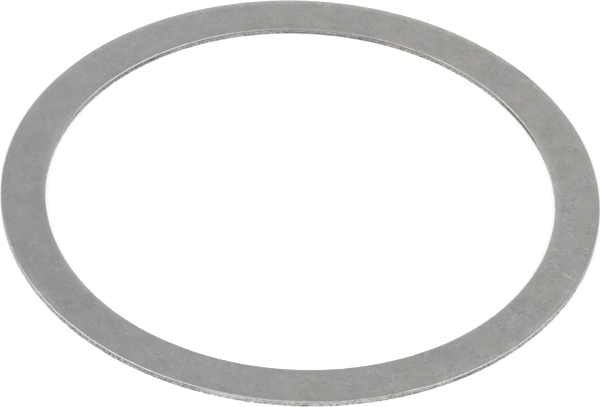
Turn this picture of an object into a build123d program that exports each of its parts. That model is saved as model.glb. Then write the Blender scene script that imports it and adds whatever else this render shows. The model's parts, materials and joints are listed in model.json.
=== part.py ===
from build123d import *
import os

# Shim ring: one flat ring stamped from cold-rolled steel sheet, put beside a bearing or a gear
# to take up end play. Millimetres, +Z up along the ring's axis, origin on that axis in the
# plane of the lower face.
#
# Rim and hole are cut in one stroke of a compound die, so both edges have the same section.
# From the top face down it is the die roll, where the sheet was drawn in before it sheared,
# then the burnished land, which has the true diameter, then the fracture zone, which falls
# back a little from the land, and last the lower corner, where the burr was taken off.

# Driving dimensions
bore_diameter = 85.0  # across the burnished land of the hole
band_width = 7.5  # from the land of the hole to the land of the rim
thickness = 1.2

# The sheared edge
roll_width = 0.25  # from the land in to where the top face is flat
roll_depth = 0.12  # from the top face down to the head of the land
burnished_share = 0.60  # of the wall between roll and corner; the rest is fracture
fracture_fall_back = 0.04  # from the land in to the foot of the fracture zone
corner_break = 0.04  # lower corner, both ways

# Sizes that follow
bore_radius = bore_diameter / 2
rim_radius = bore_radius + band_width
middle_radius = bore_radius + band_width / 2
land_head = thickness - roll_depth
land_height = burnished_share * (land_head - corner_break)
land_foot = land_head - land_height
fracture_foot_radius = rim_radius - fracture_fall_back
lower_face_radius = fracture_foot_radius - corner_break

os.makedirs("parts", exist_ok=True)

# The section is drawn from the middle of the band out to the rim, mirrored in to the hole, and
# then turned about the ring's axis.
with BuildPart() as shim_ring:
    with BuildSketch(Plane.XZ):
        with BuildLine():
            below_the_roll = Polyline(
                (middle_radius, thickness),
                (middle_radius, 0),
                (lower_face_radius, 0),
                (fracture_foot_radius, corner_break),
                (rim_radius, land_foot),
                (rim_radius, land_head),
            )
            roll = TangentArc(
                (rim_radius - roll_width, thickness),
                (rim_radius, land_head),
                tangent=(1, 0),
            )
            Line(below_the_roll @ 0, roll @ 0)
        make_face()
        mirror(about=Plane.YZ.offset(middle_radius))
    revolve(axis=Axis.Z)

shim_ring.part.label = "shim_ring"
export_step(shim_ring.part, "parts/shim_ring.step")
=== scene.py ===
import json
import math

import bpy
import numpy as np
from mathutils import Matrix, Vector, noise


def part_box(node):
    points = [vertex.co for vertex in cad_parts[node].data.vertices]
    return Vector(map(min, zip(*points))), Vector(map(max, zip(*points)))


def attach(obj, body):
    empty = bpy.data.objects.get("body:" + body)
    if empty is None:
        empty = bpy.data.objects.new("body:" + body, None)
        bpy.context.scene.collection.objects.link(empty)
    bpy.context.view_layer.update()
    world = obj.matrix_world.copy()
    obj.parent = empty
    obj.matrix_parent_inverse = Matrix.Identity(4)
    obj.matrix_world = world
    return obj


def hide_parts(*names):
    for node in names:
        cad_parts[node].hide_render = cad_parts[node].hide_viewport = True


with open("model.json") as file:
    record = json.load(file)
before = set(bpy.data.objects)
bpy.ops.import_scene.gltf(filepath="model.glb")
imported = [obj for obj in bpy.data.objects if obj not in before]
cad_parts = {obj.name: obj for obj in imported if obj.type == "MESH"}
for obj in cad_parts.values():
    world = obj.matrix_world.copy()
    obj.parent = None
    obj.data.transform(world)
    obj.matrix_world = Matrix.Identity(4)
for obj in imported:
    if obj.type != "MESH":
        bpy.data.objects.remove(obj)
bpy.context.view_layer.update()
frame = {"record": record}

# The steel of the shim ring, built again round the imported ring with the fine relief, the wear
# and the marks of a stamped one, and painted shade and light along its edges. Metres throughout;
# azimuths go round the ring's axis from +X.

MM = 0.001

# The ring's own sizes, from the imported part, with a rim that stays in its box on every side
low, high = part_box("shim_ring")
mounts = {mount["name"]: mount for mount in frame["record"]["mounts"]}
thickness = high.z - low.z
rim_radius = min(-low.x, high.x, -low.y, high.y)
bore_radius = mounts["bore"]["dims"]["r_mm"] * MM
land_height = mounts["rim"]["dims"]["length_mm"] * MM
land_foot = mounts["rim"]["pos_m"][2] - land_height / 2
land_head = land_foot + land_height

# The stamped edge, as in the solid: the width of the die roll, how far the fracture falls back
# from the land, and the size of the broken lower corner
ROLL_WIDTH = 0.25 * MM
FALL_BACK = 0.04 * MM
CORNER_BREAK = 0.04 * MM

# The sheet's upper face falls a very little towards the edge: from how far in, and how deep
SAG_REACH = 1.35 * MM
SAG_DEPTH = 0.012 * MM

# How high the land is where the sheet tore early, and the least that it is anywhere
TORN_LAND = 0.14 * MM
LEAST_LAND = 0.05 * MM

# How deep the relief of the land and of the fracture is
LAND_RELIEF = 0.003 * MM
FRACTURE_RELIEF = 0.025 * MM

# What is uneven along an edge: by how much (a length, or a share of the value), in lumps of
# what length, and a number that keeps its noise apart from the others'
UNEVEN = {
    "fine border": (0.07 * MM, 0.9 * MM, 0),
    "broad border": (0.09 * MM, 6.0 * MM, 1),
    "roll drop": (0.02 * MM, 3.0 * MM, 2),
    "roll width": (0.16, 4.0 * MM, 3),
    "fine fracture": (1.0, 0.4 * MM, 4),
    "broad fracture": (0.6, 1.2 * MM, 5),
    "land": (1.0, 1.0 * MM, 6),
    "chips": (0.06 * MM, 0.7 * MM, 7),
    "wall tone": (0.12, 5.0 * MM, 8),
    "corner shade": (0.5, 2.0 * MM, 9),
}

# Small handling dents in the upper corner of each edge: how many, their least and most width
# and depth in mm, how much of its depth a dent also goes downwards, and the power by which it
# fades over the roll
DENTS = 46
DENT_WIDTHS = (0.15, 0.5)
DENT_DEPTHS = (0.01, 0.05)
DENT_DOWNWARDS = 0.6
DENT_FADE = 0.7

# Stretches of the two edges that differ from the rest: azimuth and half width in degrees, and
# how much.
#   lowered: the upper face falls more towards the edge, by that many mm
#   torn: the sheet tore early, so the land is low
#   sharp: the die roll is smaller
#   dull: the die roll is darker
#   crease_shade, wall_shade, foot_shade: painted shade that darkens the wall under the roll,
#     all over, or at its foot
#   lit_wall: painted light that makes the wall a little brighter, with no painted dark line
#     along its upper corner
#   sheen: a painted sheen that makes the upper face brighter beside the roll
RIM = {
    "lowered": [(-90, 70, 0.04), (-42, 24, 0.26), (-128, 16, 0.12), (-150, 12, 0.25)],
    "torn": [(-42, 22, 1.0), (-130, 15, 1.0), (75, 25, 1.0), (170, 12, 1.0)],
    "sharp": [(72, 34, 0.65), (118, 22, 0.4), (-38, 14, 0.22), (-150, 12, 0.15)],
    "dull": [(-44, 28, 0.12), (-76, 8, 0.27), (-137, 9, 0.08)],
    "crease_shade": [(-119, 13, 0.42)],
    "wall_shade": [(-53, 6, 0.24), (-119, 9, 0.08)],
    "lit_wall": [(-90, 18, 1.0)],
    "sheen": [(88, 44, 0.32), (22, 18, 0.17), (147, 14, 0.17)],
}
BORE = {
    "lowered": [
        (0, 20, 0.09),
        (28, 12, 0.16),
        (52, 18, 0.09),
        (90, 30, 0.05),
        (128, 14, 0.11),
        (180, 20, 0.09),
    ],
    "torn": [(135, 9, 1.0), (29, 8, 1.0), (-60, 20, 1.0), (-140, 15, 1.0)],
    "sharp": [(-90, 32, 0.5)],
    "dull": [(46, 9, 0.15)],
    "crease_shade": [(54, 15, 0.50), (70, 9, 0.60), (105, 14, 0.52)],
    "wall_shade": [(135, 12, 0.30), (112, 8, 0.08), (66, 7, 0.07), (31, 7, 0.30)],
    "foot_shade": [(85, 12, 0.46), (31, 8, 0.34)],
    "lit_wall": [(-90, 30, 1.0)],
    "sheen": [(6, 22, 0.20), (-30, 24, 0.11), (58, 12, 0.14), (-146, 14, 0.20), (170, 16, 0.15)],
}

# Over how many degrees such a stretch fades in or out
STRETCH_FADE = 6.0

# The painted shade along the wall's upper corner, a dark line under the bright roll: how much
# darker it is, how much of that the land gets, and how fast it fades over the roll
CORNER_SHADE = 0.40
CORNER_SHADE_ON_LAND = 0.3
CORNER_SHADE_FADE = 3.5

# How much brighter the painted light makes the wall, how far the painted shade under the roll
# and at the foot reaches, and the power by which the painted sheen beside the roll fades inwards
LIT_WALL_SHINE = 0.08
CREASE_SHADE_REACH = 0.24 * MM
FOOT_SHADE_REACH = 0.58 * MM
SHEEN_FADE = 1.2

# Marks on the upper face: azimuth of the middle and how far it is from the hole, heading,
# length, width and change in tone
SCRATCHES = [
    (-21, 5.5 * MM, -40, 3.0 * MM, 0.25 * MM, 0.50),
    (-12, 6.5 * MM, -5, 1.0 * MM, 0.30 * MM, 0.45),
    (-14, 1.5 * MM, -50, 2.0 * MM, 0.45 * MM, 0.20),
    (-9, 3.5 * MM, -65, 3.0 * MM, 0.20 * MM, 0.20),
    (-16, 2.5 * MM, -95, 3.0 * MM, 0.20 * MM, 0.15),
    (-23, 6.0 * MM, -25, 2.5 * MM, 0.20 * MM, 0.15),
    (-36, 4.5 * MM, -45, 2.0 * MM, 0.20 * MM, 0.15),
    (-46, 4.5 * MM, -45, 2.5 * MM, 0.25 * MM, 0.15),
    (7, 5.5 * MM, -5, 2.0 * MM, 0.25 * MM, 0.25),
    (10, 6.5 * MM, 60, 1.0 * MM, 0.60 * MM, -0.16),
    (-153, 2.0 * MM, -40, 2.5 * MM, 0.50 * MM, -0.10),
    (-117, 4.5 * MM, -40, 2.0 * MM, 0.40 * MM, -0.14),
    (89, 1.0 * MM, -65, 2.0 * MM, 0.50 * MM, -0.09),
    (94, 1.0 * MM, 15, 2.5 * MM, 0.50 * MM, -0.07),
]

# Mesh rows across one edge, and columns round the ring
CORNER_ROWS = 2
FRACTURE_ROWS = 7
LAND_ROWS = 4
ROLL_ROWS = 7
SAG_ROWS = 4
COLUMNS = 1960

# The unrolled map: strips that each take their part of the ring, and the gap round a strip
STRIPS = 4
STRIP_COLUMNS = COLUMNS // STRIPS
STRIP_GAP = 0.004

# Zones of the edge, as shares of die roll, burnished land and fracture, and how the roll goes
# over into the sheet: its share at the border, and the power by which that fades inwards
LAND = (0, 1, 0)
FRACTURE = (0, 0, 1)
ROLL_AT_BORDER = 0.5
ROLL_FADE = 4

# Tones of the steel's zones, as the share of light that it sends back
SHEET_TONE = 0.563
ROLL_TONE = 0.62
# The bore's wall is a shade darker than the rim's: painted shade
BORE_WALL_TONE = 0.40
RIM_WALL_TONE = 0.42

# How rough the steel's zones are: the sheet's smoothest and roughest grains, and the edge
SHEET_ROUGHNESS = (0.40, 0.50)
ROLL_ROUGHNESS = 0.28
LAND_ROUGHNESS = 0.30
FRACTURE_ROUGHNESS = 0.50

# How large the lumps of the sheet's patterns are, and how strongly the three grey ones show
FINE_SIZE, FINE_STRENGTH = 0.19 * MM, 1.4
MIDDLE_SIZE, MIDDLE_STRENGTH = 0.7 * MM, 0.8
CLOUD_SIZE, CLOUD_STRENGTH = 2.6 * MM, 0.26
CLUSTER_SIZE = 3.5 * MM
TINT_SIZE = 3.5 * MM

# How large the lumps of the walls' patterns are and how strongly they show, and how much
# longer than high the drawn lines are
LINE_SIZE, LINE_STRENGTH = 1.6 * MM, 0.20
LINE_STRETCH = 9.0
PIT_SIZE, PIT_STRENGTH_ON_ROLL = 0.36 * MM, 0.14

# The floor: half its side, how far it is under the ring, its grey, and how much it glows so
# that it shows as white
FLOOR_HALF = 6.0
FLOOR_GAP = 0.01 * MM
FLOOR_GREY = 0.80
FLOOR_GLOW = 0.41

# The room is white level with the floor and gets greyer upwards: how high the Z of a direction
# is where that ends, and how bright the room is from there on
ROOM_FADE = 0.66
ROOM_TOP = 0.48

# Soft boxes that face the ring: azimuth, elevation, distance, size and radiance
SOFT_BOXES = {
    "soft_box_right": (-17, 45, 1.6, (2.0, 0.8), 1.75),
    "soft_box_left": (-163, 45, 1.6, (2.0, 0.8), 1.75),
    "soft_box_above": (-90, 62, 1.6, (1.1, 1.1), 0.3),
}

WHITE = (1.0, 1.0, 1.0, 1.0)

# Seeds of what is random on the two edges
RIM_SEED = 11
BORE_SEED = 53

ANGLES = np.linspace(0.0, 2.0 * math.pi, COLUMNS, endpoint=False)


def direction(azimuth, elevation=0.0):
    """A unit vector: azimuth from +X towards +Y, elevation above the floor, in degrees."""
    turn, rise = math.radians(azimuth), math.radians(elevation)
    across = math.cos(rise)
    return Vector((math.cos(turn) * across, math.sin(turn) * across, math.sin(rise)))


def lumps(radius, heights, length, seed):
    """Smooth noise from about -1 to 1 round the ring, in lumps as long as length.

    heights is one height, or one for each column.
    """
    heights = np.broadcast_to(heights, ANGLES.shape)
    shift = Vector((seed, 2.7 * seed, 5.3 * seed))
    places = zip(radius * np.cos(ANGLES), radius * np.sin(ANGLES), heights)
    return np.array([noise.noise(Vector(place) / length + shift) for place in places])


def dent_depths(radius, seed):
    """How deep the small handling dents of one edge are, round the ring."""
    draws = np.random.default_rng(seed)
    depth = np.zeros(COLUMNS)
    for centre in draws.uniform(0.0, 2.0 * math.pi, DENTS):
        width = draws.uniform(*DENT_WIDTHS) * MM
        deepest = draws.uniform(*DENT_DEPTHS) * MM
        along = radius * np.abs((ANGLES - centre + math.pi) % (2 * math.pi) - math.pi)
        depth = np.maximum(depth, deepest * np.exp(-((along / width) ** 2)))
    return depth


def amount_of(stretches):
    """The amount within each of those stretches, 0 outside them, soft between, round the ring."""
    degrees = np.degrees(ANGLES)
    most = np.zeros(COLUMNS)
    for azimuth, half_width, amount in stretches:
        away = np.abs((degrees - azimuth + 180.0) % 360.0 - 180.0)
        inside = np.clip((half_width - away) / STRETCH_FADE + 0.5, 0.0, 1.0)
        most = np.maximum(most, amount * inside)
    return most


def shares(count):
    """That many even steps from 0 up to, but without, 1."""
    return np.linspace(0.0, 1.0, count, endpoint=False)


class StampedEdge:
    """One stamped edge, as rows from the lower face up to the upper one.

    Each row is (how far back from the true radius, height, zone, tone), with tone how bright
    the metal is, painted shade and light included.
    """

    def __init__(self, radius, stretches, seed):
        self.radius = radius
        self.stretches = stretches
        self.seed = seed

        # The upper face, the die roll and the head of the land
        roll_size = 1.0 - self.stretch_amount("sharp")
        drop = (thickness - land_head) * roll_size + self.uneven("roll drop")
        self.sag_depth = SAG_DEPTH + self.stretch_amount("lowered") * MM
        self.roll_width = ROLL_WIDTH * roll_size * (1.0 + self.uneven("roll width"))
        self.roll_radius = (self.roll_width ** 2 + drop ** 2) / (2.0 * drop)
        self.head = thickness - drop - self.sag_depth
        self.dents = dent_depths(radius, seed)

        # The border of land and fracture, and the broken lower corner
        border = land_foot + self.stretch_amount("torn") * (land_height - TORN_LAND)
        border += self.uneven("fine border") + self.uneven("broad border")
        self.border = np.minimum(border, self.head - LEAST_LAND)
        self.chips = np.maximum(self.uneven("chips"), 0.0)

        # How bright the metal is: a tone that differs at random, with painted shade along the upper
        # corner and over stretches of the wall, and painted light on the lit stretch
        lit_wall = self.stretch_amount("lit_wall")
        self.corner_shade = CORNER_SHADE * (1.0 - lit_wall) * (1.0 + self.uneven("corner shade"))
        self.wall = 1.0 + LIT_WALL_SHINE * lit_wall - self.stretch_amount("wall_shade") + self.uneven("wall tone")

    def stretch_amount(self, kind):
        """How much there is of that kind of stretch round the ring: shape, wear, painted shade or
        light.
        """
        return amount_of(self.stretches.get(kind, []))

    def uneven(self, what, heights=0.0):
        """By how much that is more or less than usual, round the ring."""
        amount, length, shift = UNEVEN[what]
        return amount * lumps(self.radius, heights, length, self.seed + shift)

    def upper_face(self, back):
        """How high the upper face is, that far back from the edge."""
        inwards = np.minimum(back / SAG_REACH, 1.0)
        return thickness - self.sag_depth * (1.0 - inwards ** 2 * (3.0 - 2.0 * inwards))

    def wall_tone(self, height):
        """How bright the wall is at that height, with painted shade under the roll and at its foot.
        """
        under_roll = np.exp(-(((self.head - height) / CREASE_SHADE_REACH) ** 2))
        at_foot = np.exp(-((height / FOOT_SHADE_REACH) ** 2))
        # Painted shade in the crease under the roll
        crease_shade = 1.0 - self.stretch_amount("crease_shade") * under_roll
        # Painted shade at the wall's foot
        foot_shade = 1.0 - self.stretch_amount("foot_shade") * at_foot
        return self.wall * crease_shade * foot_shade

    def corner(self):
        for share in shares(CORNER_ROWS):
            back = FALL_BACK + (1.0 - share) * CORNER_BREAK + self.chips
            height = np.full(COLUMNS, share * CORNER_BREAK)
            yield back, height, FRACTURE, self.wall_tone(height)

    def fracture(self):
        for share in shares(FRACTURE_ROWS):
            height = CORNER_BREAK + share * (self.border - CORNER_BREAK)
            rough = self.uneven("fine fracture", height) + self.uneven("broad fracture", height)
            back = FALL_BACK * (1.0 - share ** 2) + self.chips * (1.0 - share)
            back += FRACTURE_RELIEF * rough * math.sin(math.pi * share) ** 0.5
            yield back, height, FRACTURE, self.wall_tone(height)

    def land(self):
        for share in shares(LAND_ROWS):
            height = self.border + share * (self.head - self.border)
            back = LAND_RELIEF * (1.0 + self.uneven("land")) + self.dents * share ** 2
            # Painted shade along the upper corner, reaching down onto the land
            line = 1.0 - CORNER_SHADE_ON_LAND * self.corner_shade * share
            yield back, height, LAND, self.wall_tone(height) * line

    def roll(self):
        sweep = np.arcsin(np.minimum(self.roll_width / self.roll_radius, 1.0))
        for share in shares(ROLL_ROWS):
            turn = sweep * (1.0 - share)
            back = self.roll_width - self.roll_radius * np.sin(turn)
            height = self.upper_face(back) - self.roll_radius * (1.0 - np.cos(turn))
            dent = self.dents * (1.0 - share) ** DENT_FADE
            zone = (1.0 - (1.0 - ROLL_AT_BORDER) * share, 0, 0)
            # Painted shade on the lower part of the roll, a dark line along the corner
            line = 1.0 - self.corner_shade * max(1.0 - CORNER_SHADE_FADE * share, 0.0)
            tone = line * (1.0 - self.stretch_amount("dull"))
            yield back + dent, height - DENT_DOWNWARDS * dent, zone, tone

    def sheet(self):
        for share in np.linspace(0.0, 1.0, SAG_ROWS + 1):
            back = self.roll_width + share * (SAG_REACH - self.roll_width)
            zone = (ROLL_AT_BORDER * (1.0 - share) ** ROLL_FADE, 0, 0)
            # A painted sheen on the upper face beside the roll
            tone = 1.0 + self.stretch_amount("sheen") * (1.0 - share) ** SHEEN_FADE
            yield back, self.upper_face(back), zone, tone

    def rows(self):
        for part in (self.corner, self.fracture, self.land, self.roll, self.sheet):
            for back, height, zone, tone in part():
                yield np.maximum(back, 0.0), height, zone, tone


def unrolled(radii, heights):
    """Places on a map for the four corners of each face: the ring's skin unrolled in strips."""
    section = np.stack([radii.mean(axis=1), heights.mean(axis=1)], axis=-1)
    steps = np.linalg.norm(np.roll(section, -1, axis=0) - section, axis=1)
    across = np.concatenate([[0.0], np.cumsum(steps)]) / steps.sum()
    row, column = np.meshgrid(np.arange(len(radii)), np.arange(COLUMNS), indexing="ij")
    strip, column = column // STRIP_COLUMNS, column % STRIP_COLUMNS
    corners = []
    for row_step, column_step in ((0, 0), (0, 1), (1, 1), (1, 0)):
        along = (column + column_step) / STRIP_COLUMNS
        up = across[row + row_step]
        u = STRIP_GAP + (1.0 - 2.0 * STRIP_GAP) * along
        v = STRIP_GAP + (1.0 / STRIPS - 2.0 * STRIP_GAP) * up + strip / STRIPS
        corners.append(np.stack([u, v], axis=-1))
    return np.stack(corners, axis=2)


def ring_mesh():
    """The whole ring: up the rim, in across the upper face, down the bore and back below."""
    rim = list(StampedEdge(rim_radius, RIM, RIM_SEED).rows())
    bore = list(StampedEdge(bore_radius, BORE, BORE_SEED).rows())
    loop = [(rim_radius - back, height, zone, tone) for back, height, zone, tone in rim]
    loop += [(bore_radius + back, height, zone, tone) for back, height, zone, tone in bore[::-1]]
    rows = len(loop)
    radii = np.array([row[0] for row in loop])
    heights = np.array([row[1] for row in loop])
    points = np.stack([radii * np.cos(ANGLES), radii * np.sin(ANGLES), heights], axis=-1)
    this_row, this_column = np.meshgrid(np.arange(rows), np.arange(COLUMNS), indexing="ij")
    next_row, next_column = (this_row + 1) % rows, (this_column + 1) % COLUMNS
    corners = [
        this_row * COLUMNS + this_column,
        this_row * COLUMNS + next_column,
        next_row * COLUMNS + next_column,
        next_row * COLUMNS + this_column,
    ]
    faces = np.stack(corners, axis=-1).reshape(-1, 4)
    mesh = bpy.data.meshes.new("shim_ring_steel")
    mesh.from_pydata(points.reshape(-1, 3).tolist(), [], faces.tolist())

    # The zone goes into the colour, and the tone, painted shade and light included, into the
    # alpha of one attribute
    zones = np.ones((rows, COLUMNS, 4), np.float32)
    zones[:, :, :3] = np.array([row[2] for row in loop])[:, None, :]
    zones[:, :, 3] = np.array([row[3] for row in loop])
    layer = mesh.attributes.new("edge_zone", "FLOAT_COLOR", "POINT")
    layer.data.foreach_set("color", zones.ravel())

    unwrapped = mesh.uv_layers.new(name="OFBake")
    unwrapped.data.foreach_set("uv", unrolled(radii, heights).astype(np.float32).ravel())
    mesh.shade_smooth()
    mesh.update()
    return mesh


class Nodes:
    """The node tree of a material or world, with short calls for the nodes that are used here."""

    def __init__(self, owner):
        owner.use_nodes = True
        self.tree = owner.node_tree
        self.tree.nodes.clear()

    def node(self, kind, inputs=None, **settings):
        made = self.tree.nodes.new(kind)
        for key, value in settings.items():
            setattr(made, key, value)
        for key, value in (inputs or {}).items():
            if isinstance(value, bpy.types.NodeSocket):
                self.tree.links.new(value, made.inputs[key])
            else:
                made.inputs[key].default_value = value
        return made

    def math(self, operation, *inputs, clamp=False):
        inputs = dict(enumerate(inputs))
        return self.node("ShaderNodeMath", inputs, operation=operation, use_clamp=clamp).outputs[0]

    def product(self, *factors):
        total = factors[0]
        for factor in factors[1:]:
            total = self.math("MULTIPLY", total, factor)
        return total

    def vector(self, operation, *inputs):
        inputs = dict(enumerate(inputs))
        return self.node("ShaderNodeVectorMath", inputs, operation=operation).outputs

    def along(self, coordinates, way):
        """How far the coordinates lie along a unit vector."""
        return self.vector("DOT_PRODUCT", coordinates, way)["Value"]

    def stretch(self, coordinates, factors):
        return self.vector("MULTIPLY", coordinates, factors)["Vector"]

    def shift(self, coordinates, amount):
        """The coordinates moved away, to where noise is unlike that at the place itself."""
        return self.vector("ADD", coordinates, (amount, 1.3 * amount, 1.7 * amount))["Vector"]

    def noise(self, coordinates, size, detail=2.0, roughness=0.5):
        """Noise about 0.5, in lumps of about that size in metres."""
        inputs = {"Vector": coordinates, "Scale": 1.0 / size}
        inputs.update({"Detail": detail, "Roughness": roughness})
        return self.node("ShaderNodeTexNoise", inputs).outputs["Fac"]

    def centred(self, value):
        """Noise about 0.5 made into noise about 0."""
        return self.math("SUBTRACT", value, 0.5)

    def swing(self, value, reach):
        """Noise about 0.5 made into a factor about 1 that goes up and down by about reach."""
        return self.math("MULTIPLY_ADD", value, 4.0 * reach, 1.0 - 2.0 * reach)

    def ramp(self, value, levels, results, interpolation="SMOOTHSTEP"):
        """The first result up to the first level, the second from the second level on."""
        inputs = {"Value": value}
        inputs["From Min"], inputs["From Max"] = levels
        inputs["To Min"], inputs["To Max"] = results
        settings = {"interpolation_type": interpolation, "clamp": True}
        return self.node("ShaderNodeMapRange", inputs, **settings).outputs["Result"]

    def mix(self, share, first, second):
        inputs = {"Factor": share, "A": first, "B": second}
        return self.node("ShaderNodeMix", inputs, data_type="FLOAT").outputs["Result"]

    def by_zone(self, zones, sheet, roll, land, fracture):
        """The sheet's value, with the value of each zone of the edge mixed in by its share."""
        value = self.mix(zones["Red"], sheet, roll)
        value = self.mix(zones["Green"], value, land)
        return self.mix(zones["Blue"], value, fracture)


def scratched(nodes, tone, place, azimuth, from_hole, heading, length, width, change):
    """The tone changed by that share on one straight mark on the upper face, soft at its border."""
    middle = (bore_radius + from_hole) * direction(azimuth)
    off = nodes.vector("SUBTRACT", place, middle)["Vector"]
    lengthwise = nodes.math("ABSOLUTE", nodes.along(off, direction(heading)))
    crosswise = nodes.math("ABSOLUTE", nodes.along(off, direction(heading + 90)))
    across = nodes.ramp(crosswise, (0.1 * width, 0.5 * width), (change, 0.0))
    within_length = nodes.ramp(lengthwise, (0.3 * length, 0.5 * length), (1.0, 0.0))
    mark = nodes.product(across, within_length)
    return nodes.math("MULTIPLY_ADD", tone, mark, tone)


def sheet_tone(nodes, place, fine):
    """The rolled sheet: fine grain in clusters, a few crisp specks, soft clouds, and marks."""
    middle = nodes.noise(place, MIDDLE_SIZE)
    cloud = nodes.noise(place, CLOUD_SIZE, detail=1.5)
    cluster = nodes.noise(nodes.shift(place, 0.31), CLUSTER_SIZE)
    light_specks = nodes.ramp(fine, (0.62, 0.74), (0.0, 0.28))
    dark_specks = nodes.ramp(fine, (0.28, 0.40), (0.12, 0.0))
    grain = nodes.product(nodes.centred(middle), MIDDLE_STRENGTH)
    grain = nodes.math("MULTIPLY_ADD", nodes.centred(fine), FINE_STRENGTH, grain)
    grain = nodes.math("ADD", grain, light_specks)
    grain = nodes.math("SUBTRACT", grain, dark_specks)

    # The grain is weakest at the far left, strongest at the near right, and comes in clusters
    near_right = nodes.along(place, direction(-40))
    strength = nodes.ramp(near_right, (-rim_radius, rim_radius), (0.29, 0.40))
    clustered = nodes.ramp(cluster, (0.38, 0.62), (0.4, 1.7))
    grain = nodes.product(grain, strength, clustered)
    grain = nodes.math("MULTIPLY_ADD", nodes.centred(cloud), CLOUD_STRENGTH, grain)

    # Darker by a very little towards the left, and most at its end
    leftwards = nodes.along(place, direction(-157))
    left_end = nodes.ramp(leftwards, (0.5 * rim_radius, 0.97 * rim_radius), (1.0, 0.927))
    right_to_left = nodes.ramp(leftwards, (-rim_radius, rim_radius), (1.015, 0.985))
    drift = nodes.product(left_end, right_to_left)
    tone = nodes.math("MULTIPLY_ADD", grain, drift, drift)
    for scratch in SCRATCHES:
        tone = scratched(nodes, tone, place, *scratch)
    return nodes.product(tone, SHEET_TONE)


def wall_tones(nodes, place, pits):
    """The land and the fracture: lines along the edge, and pits, darker in the fracture."""
    radius = nodes.vector("LENGTH", nodes.stretch(place, (1.0, 1.0, 0.0)))["Value"]
    # The bore's wall a shade darker than the rim's: painted shade
    wall = nodes.ramp(radius, (bore_radius, rim_radius), (BORE_WALL_TONE, RIM_WALL_TONE))
    drawn = nodes.noise(nodes.stretch(place, (1.0, 1.0, LINE_STRETCH)), LINE_SIZE)
    lined = nodes.product(nodes.swing(drawn, LINE_STRENGTH), wall)
    land_pits = nodes.ramp(pits, (0.40, 0.58), (0.70, 1.14))
    fracture_pits = nodes.ramp(pits, (0.40, 0.60), (0.50, 1.35))
    return nodes.product(lined, land_pits), nodes.product(lined, fracture_pits)


def tinted(nodes, place, tone):
    """The tone as a colour, with its faint casts, one warm stain, and warm and cool patches."""
    far_right = nodes.along(place, direction(40))
    patch_strength = nodes.ramp(far_right, (-0.4 * rim_radius, rim_radius), (0.03, 0.15))

    def patches(shift):
        patch = nodes.noise(nodes.shift(place, shift), TINT_SIZE, detail=1.0)
        return nodes.math("MULTIPLY_ADD", nodes.centred(patch), patch_strength, 1.0)

    # The sheet is a shade yellower at the right, so blue falls by more than red there
    rightwards = nodes.along(place, direction(0))
    red_cast = nodes.ramp(rightwards, (-0.3 * rim_radius, rim_radius), (0.999, 0.992))
    blue_cast = nodes.ramp(rightwards, (-0.5 * rim_radius, 0.05 * rim_radius), (1.0, 0.971))

    stain_middle = 0.92 * rim_radius * direction(51)
    from_stain = nodes.vector("DISTANCE", place, stain_middle)["Value"]
    stain = nodes.ramp(from_stain, (8 * MM, 30 * MM), (1.023, 1.0))

    red = nodes.product(tone, stain, red_cast, patches(0.73))
    blue = nodes.product(tone, blue_cast, patches(0.41))
    channels = {"Red": red, "Green": tone, "Blue": blue}
    return nodes.node("ShaderNodeCombineColor", channels).outputs["Color"]


def steel():
    """Cold-rolled steel: a matt mottled sheet face, a bright die roll and pitted walls."""
    material = bpy.data.materials.new("cold_rolled_steel")
    nodes = Nodes(material)
    place = nodes.node("ShaderNodeTexCoord").outputs["Object"]
    edge = nodes.node("ShaderNodeAttribute", attribute_name="edge_zone").outputs
    zones = nodes.node("ShaderNodeSeparateColor", {"Color": edge["Color"]}).outputs
    fine = nodes.noise(place, FINE_SIZE, roughness=0.6)
    pits = nodes.noise(place, PIT_SIZE, roughness=0.7)

    sheet = sheet_tone(nodes, place, fine)
    roll = nodes.product(nodes.swing(pits, PIT_STRENGTH_ON_ROLL), ROLL_TONE)
    land, fracture = wall_tones(nodes, place, pits)
    tone = nodes.by_zone(zones, sheet, roll, land, fracture)
    # The edge's tone, with its painted shade and light
    tone = nodes.product(tone, edge["Alpha"])

    rough = nodes.ramp(fine, (0.2, 0.8), SHEET_ROUGHNESS)
    rough = nodes.by_zone(zones, rough, ROLL_ROUGHNESS, LAND_ROUGHNESS, FRACTURE_ROUGHNESS)
    relief = {"Height": fine, "Strength": 0.25, "Distance": 0.01 * MM}
    surface = nodes.node(
        "ShaderNodeBsdfPrincipled",
        {
            "Base Color": tinted(nodes, place, tone),
            "Metallic": 1.0,
            "Roughness": rough,
            "Normal": nodes.node("ShaderNodeBump", relief).outputs["Normal"],
        },
    )
    nodes.node("ShaderNodeOutputMaterial", {"Surface": surface.outputs["BSDF"]})
    return material


def floor_material():
    """Matt white floor that shows as white, with the ring's own soft shadow kept."""
    material = bpy.data.materials.new("floor_white")
    nodes = Nodes(material)
    path = nodes.node("ShaderNodeLightPath").outputs
    seen = nodes.math("ADD", path["Is Camera Ray"], path["Is Glossy Ray"])
    seen = nodes.math("ADD", seen, path["Is Transmission Ray"], clamp=True)
    surface = nodes.node(
        "ShaderNodeBsdfPrincipled",
        {
            "Base Color": (FLOOR_GREY, FLOOR_GREY, FLOOR_GREY, 1.0),
            "Roughness": 1.0,
            "Specular IOR Level": 0.0,
            "Emission Color": WHITE,
            "Emission Strength": nodes.product(seen, FLOOR_GLOW),
        },
    )
    nodes.node("ShaderNodeOutputMaterial", {"Surface": surface.outputs["BSDF"]})
    return material


def add_ring():
    """The visible ring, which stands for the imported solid."""
    ring = bpy.data.objects.new("shim_ring_steel", ring_mesh())
    bpy.context.scene.collection.objects.link(ring)
    ring.data.materials.append(steel())
    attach(ring, "root")
    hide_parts("shim_ring")


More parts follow.
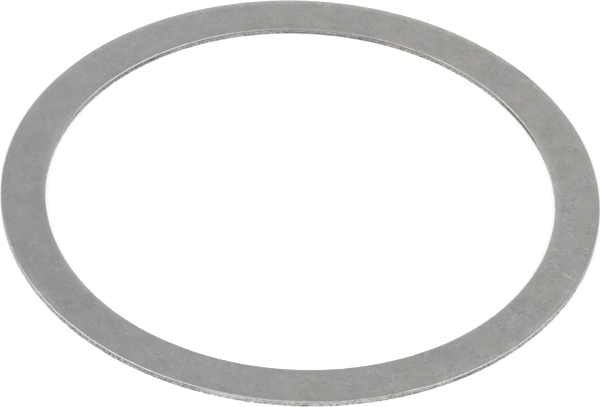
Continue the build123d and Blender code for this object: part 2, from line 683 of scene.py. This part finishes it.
def add_floor():
    """A plain floor just under the ring's lower face."""
    level = low.z - FLOOR_GAP
    signs = [(-1, -1), (1, -1), (1, 1), (-1, 1)]
    corners = [(x * FLOOR_HALF, y * FLOOR_HALF, level) for x, y in signs]
    mesh = bpy.data.meshes.new("floor")
    mesh.from_pydata(corners, [], [(0, 1, 2, 3)])
    floor = bpy.data.objects.new("floor", mesh)
    bpy.context.scene.collection.objects.link(floor)
    mesh.materials.append(floor_material())


def add_room():
    """A pale room: white at the height of the floor, greyer higher up."""
    world = bpy.data.worlds.new("pale_room")
    nodes = Nodes(world)
    place = nodes.node("ShaderNodeTexCoord").outputs["Generated"]
    height = nodes.node("ShaderNodeSeparateXYZ", {"Vector": place}).outputs["Z"]
    strength = nodes.ramp(height, (0.0, ROOM_FADE), (1.0, ROOM_TOP), interpolation="LINEAR")
    light = nodes.node("ShaderNodeBackground", {"Color": WHITE, "Strength": strength})
    nodes.node("ShaderNodeOutputWorld", {"Surface": light.outputs["Background"]})
    bpy.context.scene.world = world


def add_soft_box(name, azimuth, elevation, distance, size, radiance):
    """An oblong lamp that faces the ring and sends out that radiance."""
    lamp = bpy.data.lights.new(name, "AREA")
    lamp.shape = "RECTANGLE"
    lamp.size, lamp.size_y = size
    lamp.energy = radiance * math.pi * lamp.size * lamp.size_y
    holder = bpy.data.objects.new(name, lamp)
    holder.location = distance * direction(azimuth, elevation)
    holder.rotation_mode = "QUATERNION"
    holder.rotation_quaternion = direction(azimuth, elevation).to_track_quat("Z", "Y")
    holder.visible_camera = False
    bpy.context.scene.collection.objects.link(holder)


def add_camera():
    """A long lens high above the near side, tipped a little about its own line of sight."""
    sensor = 36.0
    focal_length = 424.2
    distance = 23.57 * rim_radius
    elevation = 41.97
    roll = math.radians(2.735)
    aim = Vector((-0.0003 * rim_radius, -0.0321 * rim_radius, thickness / 2))
    camera = bpy.data.cameras.new("camera")
    camera.sensor_width = sensor
    camera.lens = focal_length
    camera.clip_start, camera.clip_end = 0.1, 50.0
    holder = bpy.data.objects.new("camera", camera)
    back = direction(-90, elevation)
    holder.location = aim + distance * back
    holder.rotation_mode = "QUATERNION"
    upright = back.to_track_quat("Z", "Y")
    holder.rotation_quaternion = upright @ Matrix.Rotation(roll, 3, "Z").to_quaternion()
    bpy.context.scene.collection.objects.link(holder)
    bpy.context.scene.camera = holder


add_camera()
add_ring()
add_floor()
add_room()
for box_name, values in SOFT_BOXES.items():
    add_soft_box(box_name, *values)
bpy.context.scene.view_settings.view_transform = "Standard"
